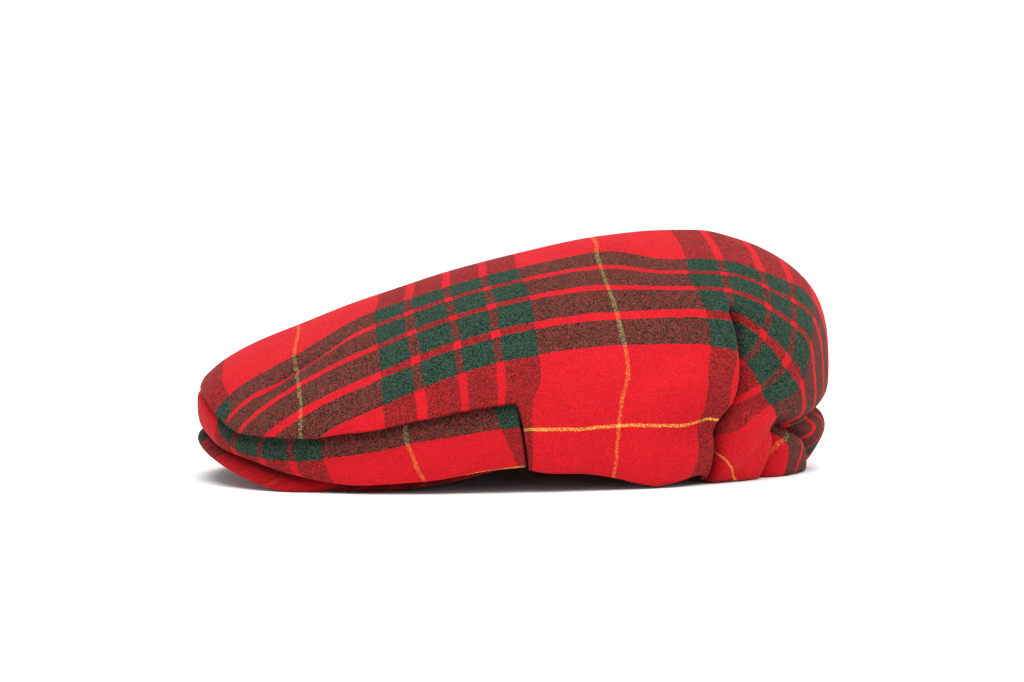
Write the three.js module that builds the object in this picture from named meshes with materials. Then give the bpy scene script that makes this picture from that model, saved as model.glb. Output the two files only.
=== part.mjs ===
import * as THREE from "three";

// A flat cap of wool cloth, lying by itself on a flat surface. Millimetres, +Z up, the peak points to -X.
// Places round the cap are angles in degrees from the middle of the back: 90 is the -Y side, 180 the front.
// Places down the cloth are turns in degrees: 0 is the top of the crown, 90 its widest height.

// Driving dimensions
const LENGTH = 275;
const WIDTH = 206;
const PLAN_POWER = 2.25; // the outline from above lies between an ellipse and a rounded box
const CLOTH = 2; // wool with its interlining
const STRIP_CLOTH = 1.8;
const PEAK_THICKNESS = 6;
const SEWN_GAP = 0.3;
const TEMPLE_ANGLE = 92; // the side seam between the crown and the front strip
const HEM_TURN = 155;
const RIDGE_SOFTNESS = 0.09; // rounds the ridge, as a share of the half width

// The ridge of the crown from front to back: its height, the power of its fall to each side,
// and the power that turns the fall into the upright side wall.
const RIDGE = [
  { x: -137.5, z: 34, fall: 1.6, wall: 2 },
  { x: -129, z: 48.5, fall: 1.3, wall: 2 },
  { x: -112, z: 58, fall: 1.1, wall: 2.2 },
  { x: -94, z: 65.2, fall: 1.15, wall: 2.4 },
  { x: -68, z: 74.8, fall: 1.6, wall: 2 },
  { x: -33, z: 86, fall: 2, wall: 1.8 },
  { x: 2, z: 94.8, fall: 2, wall: 1.8 },
  { x: 37, z: 101.6, fall: 1.7, wall: 2 },
  { x: 64, z: 103.9, fall: 1.1, wall: 2.5 },
  { x: 82, z: 103.7, fall: 1.1, wall: 2.5 },
  { x: 100, z: 100, fall: 1.3, wall: 2.3 },
  { x: 117.5, z: 92.2, fall: 1.6, wall: 2 },
  { x: 132, z: 78, fall: 1.9, wall: 2 },
  { x: 136.6, z: 63.5, fall: 2, wall: 2 },
  { x: 137.5, z: 48, fall: 2, wall: 2 },
];

// Half sections round the cap: heights of the widest place and of the front seam's line,
// and how far the hem is drawn in.
const SECTIONS = [
  { angle: 0, belly: 48, seam: 52, tuck: 9 },
  { angle: 25, belly: 46, seam: 50.5, tuck: 9 },
  { angle: 45, belly: 37, seam: 47, tuck: 9 },
  { angle: 57, belly: 25, seam: 43.5, tuck: 7 },
  { angle: 70, belly: 14, seam: 40.5, tuck: 4 },
  { angle: 92, belly: 13.5, seam: 36.5, tuck: 2 },
  { angle: 105, belly: 11, seam: 31, tuck: 2 },
  { angle: 120, belly: 8, seam: 24.5, tuck: 2 },
  { angle: 134, belly: 11, seam: 22, tuck: 2 },
  { angle: 147, belly: 16, seam: 23, tuck: 2 },
  { angle: 157, belly: 20, seam: 28, tuck: 2 },
  { angle: 168, belly: 26, seam: 36, tuck: 2 },
  { angle: 180, belly: 31, seam: 40.5, tuck: 2 },
];

// The hem lies on the surface at the back, lifts beside the dart, and waves up to the temple.
const HEM = [
  { angle: 0, height: 0 },
  { angle: 28, height: 0 },
  { angle: 45, height: 0.4 },
  { angle: 57, height: 0.8 },
  { angle: 61.5, height: 4.2 },
  { angle: 66, height: 2.6 },
  { angle: 71, height: 0.9 },
  { angle: 74.5, height: 2.2 },
  { angle: 79, height: 5 },
  { angle: 84, height: 7 },
  { angle: 89, height: 7.6 },
  { angle: 92, height: 9.5 },
  { angle: 105, height: 5 },
  { angle: 120, height: 3 },
  { angle: 134, height: 6.8 },
  { angle: 147, height: 12 },
  { angle: 157, height: 15.5 },
  { angle: 168, height: 20 },
  { angle: 180, height: 23.5 },
];

// Folds that the elastic gathers into the back hem: valley, half width, depth, and lean in degrees per mm up.
const GATHERS = [
  { angle: 49, width: 3.6, depth: 2, lean: -0.2 },
  { angle: 40, width: 3.4, depth: 5, lean: 0 },
  { angle: 21, width: 3.8, depth: 6, lean: 0.2 },
  { angle: 3, width: 3.8, depth: 5.5, lean: 0.2 },
  { angle: -11, width: 3.6, depth: 4.5, lean: -0.2 },
  { angle: -24, width: 3.8, depth: 6, lean: -0.3 },
  { angle: -38, width: 3.4, depth: 5, lean: 0.1 },
  { angle: -49, width: 3.6, depth: 2.5, lean: 0.2 },
];
const GATHER_TOP = 31; // the folds fade in below this height
const GATHER_FULL = 14;
// Crease between the back of the dome and the gathered hem: it falls as it runs out to each side.
const TUCK = { depth: 5, height: 28, falls: 6, fallFrom: 10, fallTo: 40, spread: 6, end: 50, runOut: 16 };

// The sewn dart at each rear corner, and the line that it follows.
const DART_ANGLE = 56; // the cloth's column that is laid along it
const DART_APEX = 71; // height of its upper end
const DART_FADE = 9;
const DART_DEPTH = 4.5;
const DART_WIDTH = 0.6;
const DART_REACH = 14; // degrees to each side over which the cloth follows the line
const DART_LINE = [
  { height: 0, angle: 58.2 },
  { height: 19, angle: 59 },
  { height: 26.5, angle: 58.6 },
  { height: 32, angle: 55.1 },
  { height: 39, angle: 53 },
  { height: 51, angle: 50.8 },
  { height: 61, angle: 48.8 },
  { height: 70, angle: 47.3 },
  { height: 90, angle: 46.5 },
];
// The side panel's edge stands out over the back panel along the dart.
const LIP_STEP = { depth: 3.2, runOut: 6, top: 70, bottom: 22, fade: 10 };
// Soft swellings and hollows: the puffed hem below the crease, the lip's lower corner, and the hollow under it.
const MARKS = [
  { angle: 24, height: 18, width: 15, spread: 8, depth: -2.6 },
  { angle: 64, height: 38, width: 8, spread: 9, depth: -2.2 },
  { angle: 64, height: 23, width: 7, spread: 4, depth: 3 },
];

// The end seam of the strip leans back towards the hem.
const TEMPLE_LEAN = { turn: 0.85, from: 10, to: 36, reach: 8 };

// The front strip, from its tucked upper edge to its lower fold: place between seam and hem, and inset.
const TUCKED_BEHIND = CLOTH + SEWN_GAP + 0.1;
const STRIP_ROWS = [
  { share: -0.26, inset: TUCKED_BEHIND },
  { share: 0.02, inset: TUCKED_BEHIND },
  { share: 0.12, inset: 0.9 },
  { share: 0.4, inset: 0.3 },
  { share: 0.7, inset: 0.3 },
  { share: 0.9, inset: 0.6 },
  { share: 1, inset: 1.2 },
];
const STRIP_TONGUE = 3.5; // degrees that each end runs on behind the crown's side
const TONGUE_BLEND = 2; // degrees over which it comes out again
const TONGUE_HIDDEN = 0.5; // degrees past the temple that stay tucked
// The lower edge is turned under by this length.
const LIP_SHARES = [0.5, 1];
const TURNED_UNDER = [
  { angle: 88, length: 2 },
  { angle: 125, length: 2 },
  { angle: 138, length: 6 },
  { angle: 180, length: 7 },
];

// The peak: an arched crescent that falls to the front and rests on the surface at both sides.
const PEAK_FRONT_TOP = 20.5;
const PEAK_RISE = 0.3; // towards the back
const PEAK_ARCH = 0.0049; // fall to each side, per mm squared
const PEAK_FLATTENED = 3.5; // least height of its top, where its edge is pressed flat
const PEAK_END_ANGLE = 96;
// The strip rises over the edge between these distances outside it.
const PEAK_CLEARING = { from: 2.5, to: 0.5 };
// Its outer edge lies this far inside the cap's outline.
const PEAK_INSET = [
  { angle: 96, inset: 8 },
  { angle: 120, inset: 6.6 },
  { angle: 127, inset: 6 },
  { angle: 134, inset: 1 },
  { angle: 150, inset: 0.4 },
  { angle: 180, inset: 0 },
];
// Its inner edge follows the head opening, an ellipse.
const HEAD = { x: 25, halfLength: 97, halfWidth: 89 };
// Across the crescent from its inner edge out: share of the width, drop of the top and rise of the underside.
const PEAK_ROWS = [
  { share: 1, drop: 0, rise: 0 },
  { share: 0.7, drop: 0, rise: 0 },
  { share: 0.4, drop: 0, rise: 0 },
  { share: 0.1, drop: 0, rise: 0 },
  { share: 0.035, drop: 0.5, rise: 0.2 },
  { share: 0, drop: 2, rise: 0.8 },
];

// How finely the cloth is divided: columns from the back to the dart, along it, to the temple and to the front.
const DART_SEWN = 1.5;
const COLUMNS = [
  { from: 0, to: DART_ANGLE - DART_SEWN, count: 24 },
  { from: DART_ANGLE - DART_SEWN, to: DART_ANGLE + DART_SEWN, count: 2 },
  { from: DART_ANGLE + DART_SEWN, to: TEMPLE_ANGLE, count: 9 },
  { from: TEMPLE_ANGLE, to: 180, count: 20 },
];
const DOME_ROWS = 11;
const BAND_ROWS = 13;
const PEAK_COLUMNS = 40;

const radians = THREE.MathUtils.degToRad;
const smoothstep = THREE.MathUtils.smoothstep;
const bell = (offset, width) => Math.exp(-((offset / width) ** 2));
const sideOf = (angle) => THREE.MathUtils.euclideanModulo(angle + 180, 360) - 180;
const fromBack = (angle) => Math.abs(sideOf(angle));
const sideSign = (angle) => Math.sign(Math.sin(radians(angle)));

// One column of a table read at a place between its rows, on a smooth curve that never overshoots.
function read(table, key, column, place) {
  const last = table.length - 1;
  const at = THREE.MathUtils.clamp(place, table[0][key], table[last][key]);
  let i = 0;
  while (i < last - 1 && at > table[i + 1][key]) i++;
  const rise = (n) => (table[n + 1][column] - table[n][column]) / (table[n + 1][key] - table[n][key]);
  const slope = (n) => {
    if (n === 0) return rise(0);
    if (n === last) return rise(last - 1);
    const before = rise(n - 1);
    const after = rise(n);
    return before * after > 0 ? (2 * before * after) / (before + after) : 0;
  };
  const span = table[i + 1][key] - table[i][key];
  const u = (at - table[i][key]) / span;
  const start = (1 + 2 * u) * (1 - u) ** 2 * table[i][column] + u * (1 - u) ** 2 * span * slope(i);
  const end = u * u * (3 - 2 * u) * table[i + 1][column] + u * u * (u - 1) * span * slope(i + 1);
  return start + end;
}

const section = (column, angle) => read(SECTIONS, "angle", column, fromBack(angle));
const hemHeight = (angle) => read(HEM, "angle", "height", fromBack(angle));
const dartAngle = (height) => read(DART_LINE, "height", "angle", height);

// The ridge is read by its angle on a circle of the cap's length, so that both ends can stand upright.
const lengthAngle = (x) => Math.asin(THREE.MathUtils.clamp((2 * x) / LENGTH, -1, 1));
const RIDGE_BY_ANGLE = RIDGE.map((row) => ({ ...row, angle: lengthAngle(row.x) }));
const ridge = (column, x) => read(RIDGE_BY_ANGLE, "angle", column, lengthAngle(x));

// The outline from above, and its half width at a place along the cap.
function plan(angle) {
  const power = 2 / PLAN_POWER;
  const c = Math.cos(radians(angle));
  const s = Math.sin(radians(angle));
  const x = (LENGTH / 2) * Math.sign(c) * Math.abs(c) ** power;
  const y = (-WIDTH / 2) * Math.sign(s) * Math.abs(s) ** power;
  return new THREE.Vector3(x, y, 0);
}

function halfWidth(x) {
  const left = Math.max(1 - Math.abs((2 * x) / LENGTH) ** PLAN_POWER, 0);
  return Math.max((WIDTH / 2) * left ** (1 / PLAN_POWER), 1e-6);
}

// The share of its height that the crown has lost at a share of the half width.
function fallen(across, power) {
  const soft = (u) => (u * u + RIDGE_SOFTNESS ** 2) ** (power / 2) - RIDGE_SOFTNESS ** power;
  return soft(Math.min(across, 1)) / soft(1);
}

// The smooth cloth surface, before any fold.
function smoothCloth(angle, turn) {
  const rim = plan(angle);
  const belly = section("belly", angle);
  if (turn <= 90) {
    const point = rim.multiplyScalar(Math.sin(radians(turn)));
    const across = turn < 90 ? Math.abs(point.y) / halfWidth(point.x) : 1;
    const kept = (1 - fallen(across, ridge("fall", point.x))) ** (1 / ridge("wall", point.x));
    const top = turn < 90 ? ridge("z", point.x) : belly;
    return point.setZ(belly + (top - belly) * kept);
  }
  const drawn = (1 - Math.sin(radians(turn))) / (1 - Math.sin(radians(HEM_TURN)));
  const down = Math.cos(radians(turn)) / Math.cos(radians(HEM_TURN));
  const inward = rim.clone().setLength(section("tuck", angle) * drawn);
  return rim.sub(inward).setZ(belly - (belly - hemHeight(angle)) * down);
}

// The turn at which the cloth reaches the front seam's line.
function seamTurn(angle) {
  const height = section("seam", angle);
  const halvings = 40;
  let above = 5;
  let below = HEM_TURN;
  for (let step = 0; step < halvings; step++) {
    const middle = (above + below) / 2;
    if (smoothCloth(angle, middle).z > height) above = middle;
    else below = middle;
  }
  return above;
}

const bandTurn = (angle, share) => {
  const seam = seamTurn(angle);
  return seam + (HEM_TURN - seam) * share;
};

// The outward normal of the smooth cloth.
function outward(angle, turn) {
  const step = 0.2;
  const low = Math.max(turn - step, step);
  const along = smoothCloth(angle + step, turn).sub(smoothCloth(angle - step, turn));
  const down = smoothCloth(angle, low + 2 * step).sub(smoothCloth(angle, low));
  return along.cross(down).normalize();
}

// How far the gathers, the crease above them and the darts draw the cloth in at a place.
function drawnIn(angle, height, fromDart) {
  const side = sideOf(angle);
  const from = Math.abs(side);
  const back = 1 - smoothstep(from, TUCK.end - TUCK.runOut, TUCK.end);
  const tuckHeight = TUCK.height - TUCK.falls * smoothstep(from, TUCK.fallFrom, TUCK.fallTo);
  const crease = TUCK.depth * back * bell(height - tuckHeight, TUCK.spread);
  const gathered = 1 - smoothstep(height, GATHER_FULL, GATHER_TOP);
  const folds = GATHERS.reduce((sum, fold) => {
    const valley = fold.angle + fold.lean * (height - GATHER_FULL / 2);
    return sum + fold.depth * bell(side - valley, fold.width);
  }, 0);
  const opened = 1 - smoothstep(height, DART_APEX - DART_FADE, DART_APEX);
  const dart = DART_DEPTH * opened * Math.exp(-Math.abs(fromDart) / DART_WIDTH);
  const upTo = 1 - smoothstep(height, LIP_STEP.top - LIP_STEP.fade, LIP_STEP.top);
  const downTo = smoothstep(height, LIP_STEP.bottom, LIP_STEP.bottom + LIP_STEP.fade);
  const under = fromDart < 0 ? Math.exp(fromDart / LIP_STEP.runOut) : 0;
  const step = LIP_STEP.depth * under * upTo * downTo;
  const marks = MARKS.reduce((sum, mark) => {
    const spot = bell(from - mark.angle, mark.width) * bell(height - mark.height, mark.spread);
    return sum + mark.depth * spot;
  }, 0);
  return crease + folds * gathered + dart + step + marks;
}

// How far the cloth is turned round the cap at a place near the strip's end seam.
function templeShift(angle, height) {
  const near = bell(fromBack(angle) - TEMPLE_ANGLE, TEMPLE_LEAN.reach) * sideSign(angle);
  return -TEMPLE_LEAN.turn * near * (1 - smoothstep(height, TEMPLE_LEAN.from, TEMPLE_LEAN.to));
}

// The crown's outer face: columns near the dart follow its line.
function crownOuter(angle, turn) {
  const height = smoothCloth(angle, turn).z;
  const near = bell(fromBack(angle) - DART_ANGLE, DART_REACH) * sideSign(angle);
  const shifted = angle + (dartAngle(height) - DART_ANGLE) * near + templeShift(angle, height);
  const point = smoothCloth(shifted, turn);
  const inward = point.clone().setZ(0);
  if (inward.length() < 1) return point;
  point.sub(inward.setLength(drawnIn(shifted, point.z, fromBack(angle) - DART_ANGLE)));
  return point.setZ(Math.max(point.z, 0));
}

// The inner face follows at the cloth's thickness, straight inwards below the widest place.
function crownInner(angle, turn) {
  const normal = outward(angle, turn);
  if (turn > 90) normal.setZ(0).normalize();
  return crownOuter(angle, turn).addScaledVector(normal, -CLOTH);
}

// A closed body between an outer and an inner face, laid out in columns and rows, without the cells left out.
function clothBody(columns, rows, outer, inner, { ring, pole, kept }) {
  const places = [];
  const index = [];
  const stride = columns.length;
  const corner = (column, row, face) => {
    const around = ring ? column % stride : column;
    return 2 * (row * stride + (pole && row === 0 ? 0 : around)) + face;
  };
  rows.forEach((row) =>
    columns.forEach((column) => {
      places.push(...outer(column, row).toArray(), ...inner(column, row).toArray());
    }),
  );
  const triangle = (a, b, c) => {
    if (a !== b && b !== c && c !== a) index.push(a, b, c);
  };
  const quad = (a, b, c, d) => {
    triangle(a, b, c);
    triangle(a, c, d);
  };
  const across = ring ? stride : stride - 1;
  const has = (column, row) => {
    const inside = row >= 0 && row < rows.length - 1 && (ring || (column >= 0 && column < across));
    return inside && kept((column + across) % across, row);
  };
  for (let row = 0; row < rows.length - 1; row++) {
    for (let column = 0; column < across; column++) {
      if (!has(column, row)) continue;
      const cell = [
        [column, row],
        [column, row + 1],
        [column + 1, row + 1],
        [column + 1, row],
      ];
      const [a, b, c, d] = cell.map(([i, j]) => corner(i, j, 0));
      const [e, f, g, h] = cell.map(([i, j]) => corner(i, j, 1));
      quad(a, d, c, b);
      quad(e, f, g, h);
      if (!has(column - 1, row)) quad(a, b, f, e);
      if (!has(column, row + 1)) quad(b, c, g, f);
      if (!has(column + 1, row)) quad(c, d, h, g);
      if (!has(column, row - 1) && !(pole && row === 0)) quad(d, a, e, h);
    }
  }
  const geometry = new THREE.BufferGeometry();
  geometry.setAttribute("position", new THREE.Float32BufferAttribute(places, 3));
  geometry.setIndex(index);
  geometry.computeVertexNormals();
  return geometry;
}

// Column angles from the back, round one side to the front and back along the other.
function columnAngles(spans) {
  const half = spans.flatMap(({ from, to, count }) =>
    Array.from({ length: count }, (_, i) => from + ((to - from) * i) / count),
  );
  const other = half.slice(1).reverse();
  return [...half, 180, ...other.map((angle) => 360 - angle)];
}

// Crown: the whole dome, and below the front seam's line only the sides and the back.
function crown() {
  const columns = columnAngles(COLUMNS);
  const rows = Array.from({ length: DOME_ROWS + BAND_ROWS + 1 }, (_, row) => row);
  const turnOf = (angle, row) => {
    if (row <= DOME_ROWS) return (seamTurn(angle) * row) / DOME_ROWS;
    return bandTurn(angle, (row - DOME_ROWS) / BAND_ROWS);
  };
  const kept = (column, row) => {
    if (row < DOME_ROWS) return true;
    const middle = columns[column] + 0.5;
    return fromBack(middle) < TEMPLE_ANGLE;
  };
  return clothBody(
    columns,
    rows,
    (angle, row) => crownOuter(angle, turnOf(angle, row)),
    (angle, row) => crownInner(angle, turnOf(angle, row)),
    { ring: true, pole: true, kept },
  );
}

// The height of the peak's top at a place, before its edge is pressed flat.
const peakArch = (x, y) => PEAK_FRONT_TOP + PEAK_RISE * (x + LENGTH / 2) - PEAK_ARCH * y * y;
const peakTop = (x, y) => Math.max(peakArch(x, y), PEAK_FLATTENED);
const peakInset = (angle) => read(PEAK_INSET, "angle", "inset", fromBack(angle));

// A place on the strip, kept clear above the peak.
function clearOfPeak(point, angle, clearance) {
  const rim = plan(angle);
  const inset = rim.length() - Math.hypot(point.x, point.y);
  const edge = peakInset(angle);
  const over = smoothstep(inset, edge - PEAK_CLEARING.from, edge - PEAK_CLEARING.to);
  const floor = (peakTop(point.x, point.y) + clearance) * over;
  return point.setZ(Math.max(point.z, floor));
}

// Front strip: tucked behind the crown's edge, visible down to its fold, then turned under.
function frontStrip() {
  const tongue = [-STRIP_TONGUE, -1, TONGUE_HIDDEN, TONGUE_BLEND].map((past) => TEMPLE_ANGLE + past);
  const open = columnAngles(COLUMNS).filter(
    (angle) => fromBack(angle) > TEMPLE_ANGLE + TONGUE_BLEND + 1,
  );
  const columns = [...tongue, ...open, ...tongue.map((angle) => 360 - angle).reverse()];
  const rows = [...STRIP_ROWS, ...LIP_SHARES.map((lip) => ({ ...STRIP_ROWS.at(-1), lip }))];
  const face = (angle, row, depth) => {
    const turn = bandTurn(angle, row.share);
    const past = fromBack(angle) - TEMPLE_ANGLE;
    const hidden = 1 - smoothstep(past, TONGUE_HIDDEN, TONGUE_BLEND);
    const inset = Math.max(row.inset, TUCKED_BEHIND * hidden);
    const shifted = angle + templeShift(angle, smoothCloth(angle, turn).z);
    const normal = outward(shifted, turn);
    const point = smoothCloth(shifted, turn).addScaledVector(normal, -inset - depth);
    if (row.lip) {
      const length = read(TURNED_UNDER, "angle", "length", fromBack(angle)) * row.lip;
      point.copy(smoothCloth(shifted, turn).addScaledVector(normal, -inset));
      point.sub(point.clone().setZ(0).setLength(length));
      point.z += depth;
    }
    return clearOfPeak(point, angle, SEWN_GAP + depth);
  };
  return clothBody(
    columns,
    rows,
    (angle, row) => face(angle, row, 0),
    (angle, row) => face(angle, row, STRIP_CLOTH),
    { ring: false, pole: false, kept: () => true },
  );
}

// How far the head opening's edge lies from the middle of the cap, in the direction of a place.
function headReach(place) {
  const x = place.x / HEAD.halfLength;
  const y = place.y / HEAD.halfWidth;
  const centre = HEAD.x / HEAD.halfLength;
  const square = x * x + y * y;
  const half = x * centre;
  const root = Math.sqrt(half * half + square * (1 - centre * centre));
  return (place.length() * (half + root)) / square;
}

// Peak: rounded outer edge, arched top, underside flat where it lies on the surface.
function peak() {
  const step = (360 - 2 * PEAK_END_ANGLE) / PEAK_COLUMNS;
  const columns = Array.from({ length: PEAK_COLUMNS + 1 }, (_, i) => PEAK_END_ANGLE + step * i);
  const place = (angle, row) => {
    const rim = plan(angle);
    const edge = rim.length() - peakInset(angle);
    return rim.setLength(THREE.MathUtils.lerp(edge, headReach(rim), row.share));
  };
  const top = (angle, row) => {
    const point = place(angle, row);
    return point.setZ(Math.max(peakArch(point.x, point.y) - row.drop, PEAK_FLATTENED - row.drop / 2));
  };
  const underside = (angle, row) => {
    const point = place(angle, row);
    return point.setZ(Math.max(peakArch(point.x, point.y) - PEAK_THICKNESS + row.rise, 0));
  };
  return clothBody(columns, PEAK_ROWS, top, underside, { ring: false, pole: false, kept: () => true });
}

// Each sewn piece has its own cloth material.
const cap = new THREE.Group();
const pieces = [
  { name: "crown", geometry: crown(), color: 0xc4202b },
  { name: "front_strip", geometry: frontStrip(), color: 0xb81e28 },
  { name: "peak", geometry: peak(), color: 0x8e1a20 },
];
for (const { name, geometry, color } of pieces) {
  const material = new THREE.MeshStandardMaterial({ color, roughness: 0.95, metalness: 0 });
  const mesh = new THREE.Mesh(geometry, material);
  mesh.name = name;
  cap.add(mesh);
}

export default cap;
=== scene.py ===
import bmesh
import bpy
import numpy as np
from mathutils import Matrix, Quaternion, Vector, noise


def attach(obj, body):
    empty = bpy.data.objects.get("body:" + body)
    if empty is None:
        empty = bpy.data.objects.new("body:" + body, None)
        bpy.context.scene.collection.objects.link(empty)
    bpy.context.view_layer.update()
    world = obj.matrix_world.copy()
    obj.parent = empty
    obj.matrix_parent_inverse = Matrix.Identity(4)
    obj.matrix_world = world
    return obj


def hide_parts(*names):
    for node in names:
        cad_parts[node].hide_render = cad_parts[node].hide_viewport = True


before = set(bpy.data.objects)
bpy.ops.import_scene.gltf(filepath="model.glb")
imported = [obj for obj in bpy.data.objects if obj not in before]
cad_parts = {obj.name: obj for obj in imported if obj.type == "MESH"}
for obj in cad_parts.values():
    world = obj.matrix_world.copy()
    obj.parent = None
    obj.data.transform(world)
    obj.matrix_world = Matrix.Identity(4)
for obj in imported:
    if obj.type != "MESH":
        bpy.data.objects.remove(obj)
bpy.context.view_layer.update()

# Table, light and camera
# The cap lies by itself on a plain white table.
# Soft even light comes from all round, a little more of it from above.
# The camera stands low at the cap's left side, a little towards the peak.
scene = bpy.context.scene
scene.view_settings.view_transform = "Standard"
TABLE_SIZE = 12.0
TABLE_WHITE = (0.95, 0.95, 0.95, 1)
TABLE_FINISH = {"Roughness": 0.7, "Specular IOR Level": 0.1}
HORIZON_LIGHT = 1.18
SKY_LIGHT = 0.51
HORIZON_TOP = 0.2
SKY_BOTTOM = 0.5

table_mesh = bpy.data.meshes.new("table")
bm = bmesh.new()
bmesh.ops.create_grid(bm, x_segments=2, y_segments=2, size=TABLE_SIZE / 2)
bm.to_mesh(table_mesh)
bm.free()
table = bpy.data.objects.new("table", table_mesh)
scene.collection.objects.link(table)
white = bpy.data.materials.new("table_white")
white.use_nodes = True
for name, value in {"Base Color": TABLE_WHITE, **TABLE_FINISH}.items():
    white.node_tree.nodes["Principled BSDF"].inputs[name].default_value = value
table_mesh.materials.append(white)

room = bpy.data.worlds.new("room")
room.use_nodes = True
room_nodes = room.node_tree.nodes
direction = room_nodes.new("ShaderNodeTexCoord")
height_of = room_nodes.new("ShaderNodeSeparateXYZ")
fall = room_nodes.new("ShaderNodeMapRange")
fall.interpolation_type = "SMOOTHSTEP"
room_light = {"From Min": HORIZON_TOP, "From Max": SKY_BOTTOM, "To Min": HORIZON_LIGHT, "To Max": SKY_LIGHT}
for name, value in room_light.items():
    fall.inputs[name].default_value = value
room.node_tree.links.new(direction.outputs["Generated"], height_of.inputs[0])
room.node_tree.links.new(height_of.outputs["Z"], fall.inputs["Value"])
room.node_tree.links.new(fall.outputs["Result"], room_nodes["Background"].inputs["Strength"])
room_nodes["Background"].inputs["Color"].default_value = (1, 1, 1, 1)
scene.world = room

SUN_LIGHT = 4.2
SUN_SOFTNESS = np.radians(70)
SUN_FROM = Vector((0.1, -0.22, 1))
light = bpy.data.lights.new("overhead", "SUN")
light.energy = SUN_LIGHT
light.angle = SUN_SOFTNESS
lamp = bpy.data.objects.new("overhead", light)
lamp.rotation_euler = (-SUN_FROM).to_track_quat("-Z", "Y").to_euler()
scene.collection.objects.link(lamp)

CAMERA_DISTANCE = 1.05
CAMERA_AIM = Vector((-0.0003, 0, 0.0565))
CAMERA_AZIMUTH = np.radians(-5.5)
CAMERA_ELEVATION = np.radians(2.3)
CAMERA_ROLL = np.radians(-0.8)
LENS_MM = 84.3
SENSOR_MM = 36
lens = bpy.data.cameras.new("camera")
lens.lens = LENS_MM
lens.sensor_width = SENSOR_MM
camera = bpy.data.objects.new("camera", lens)
towards = Vector((
    np.sin(CAMERA_AZIMUTH) * np.cos(CAMERA_ELEVATION),
    -np.cos(CAMERA_AZIMUTH) * np.cos(CAMERA_ELEVATION),
    np.sin(CAMERA_ELEVATION),
))
camera.location = CAMERA_AIM + CAMERA_DISTANCE * towards
turned = (-towards).to_track_quat("-Z", "Y") @ Quaternion((0, 0, 1), CAMERA_ROLL)
camera.rotation_euler = turned.to_euler()
scene.collection.objects.link(camera)
scene.camera = camera

# Crown
# One piece of brushed tartan wool that covers the whole cap, with a sewn dart at each rear corner.
# Elastic gathers its back hem, and its front edge is turned under where it is sewn to the strip.
# Sizes are in millimetres: angles run from the middle of the back, turns down from the top of the crown.
MM = 0.001
LENGTH = 275.0
WIDTH = 206.0
PLAN_POWER = 2.25
CLOTH = 2.0
TEMPLE_ANGLE = 92.0
HEM_TURN = 155.0
RIDGE_SOFTNESS = 0.09


class Table:
    """Rows of sizes, read between the rows on a smooth curve that never overshoots."""

    def __init__(self, columns, rows):
        self.column = dict(zip(columns.split(), np.array(rows, float).T))
        self.key = next(iter(self.column.values()))

    def at(self, name, place):
        key, value = self.key, self.column[name]
        place = np.clip(np.asarray(place, float), key[0], key[-1])
        rise = np.diff(value) / np.diff(key)
        slope = np.concatenate([rise[:1], np.zeros(len(rise) - 1), rise[-1:]])
        before, after = rise[:-1], rise[1:]
        same = before * after > 0
        slope[1:-1][same] = (2 * before * after)[same] / (before + after)[same]
        row = np.clip(np.searchsorted(key, place, side="right") - 1, 0, len(key) - 2)
        span = key[row + 1] - key[row]
        u = (place - key[row]) / span
        start = (1 + 2 * u) * (1 - u) ** 2 * value[row] + u * (1 - u) ** 2 * span * slope[row]
        end = u * u * (3 - 2 * u) * value[row + 1] + u * u * (u - 1) * span * slope[row + 1]
        return start + end


def length_angle(x):
    return np.arcsin(np.clip(2 * np.asarray(x, float) / LENGTH, -1, 1))


RIDGE_ROWS = [
    (-137.5, 34, 1.6, 2),
    (-129, 48.5, 1.3, 2),
    (-112, 58, 1.1, 2.2),
    (-94, 65.2, 1.15, 2.4),
    (-68, 74.8, 1.6, 2),
    (-33, 86, 2, 1.8),
    (2, 94.8, 2, 1.8),
    (37, 101.6, 1.7, 2),
    (64, 103.9, 1.1, 2.5),
    (82, 103.7, 1.1, 2.5),
    (100, 100, 1.3, 2.3),
    (117.5, 92.2, 1.6, 2),
    (132, 78, 1.9, 2),
    (136.6, 63.5, 2, 2),
    (137.5, 48, 2, 2),
]
RIDGE = Table("angle z fall wall", [(float(length_angle(row[0])), *row[1:]) for row in RIDGE_ROWS])
SECTIONS = Table("angle belly seam tuck", [
    (0, 48, 52, 9),
    (25, 46, 50.5, 9),
    (45, 37, 47, 9),
    (57, 25, 43.5, 7),
    (70, 14, 40.5, 4),
    (92, 13.5, 36.5, 2),
    (105, 11, 31, 2),
    (120, 8, 24.5, 2),
    (134, 11, 22, 2),
    (147, 16, 23, 2),
    (157, 20, 28, 2),
    (168, 28.5, 36, 2),
    (180, 34, 40.5, 2),
])
HEM = Table("angle height", [
    (0, 0),
    (28, 0),
    (45, 0.4),
    (57, 0.8),
    (61.5, 4.2),
    (66, 2.6),
    (71, 0.9),
    (74.5, 2.2),
    (79, 5),
    (84, 7),
    (89, 7.6),
    (92, 9.5),
    (105, 5),
    (120, 3),
    (134, 6.8),
    (147, 12),
    (157, 15.5),
    (168, 20),
    (180, 23.5),
])


def smoothstep(place, low, high):
    t = np.clip((np.asarray(place, float) - low) / (high - low), 0, 1)
    return t * t * (3 - 2 * t)


def bell(offset, width):
    return np.exp(-((np.asarray(offset, float) / width) ** 2))


def side_of(angle):
    return (np.asarray(angle, float) + 180) % 360 - 180


def from_back(angle):
    return np.abs(side_of(angle))


def section(name, angle):
    return SECTIONS.at(name, from_back(angle))


def hem_height(angle):
    return HEM.at("height", from_back(angle))


def ridge(name, x):
    return RIDGE.at(name, length_angle(x))


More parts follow.
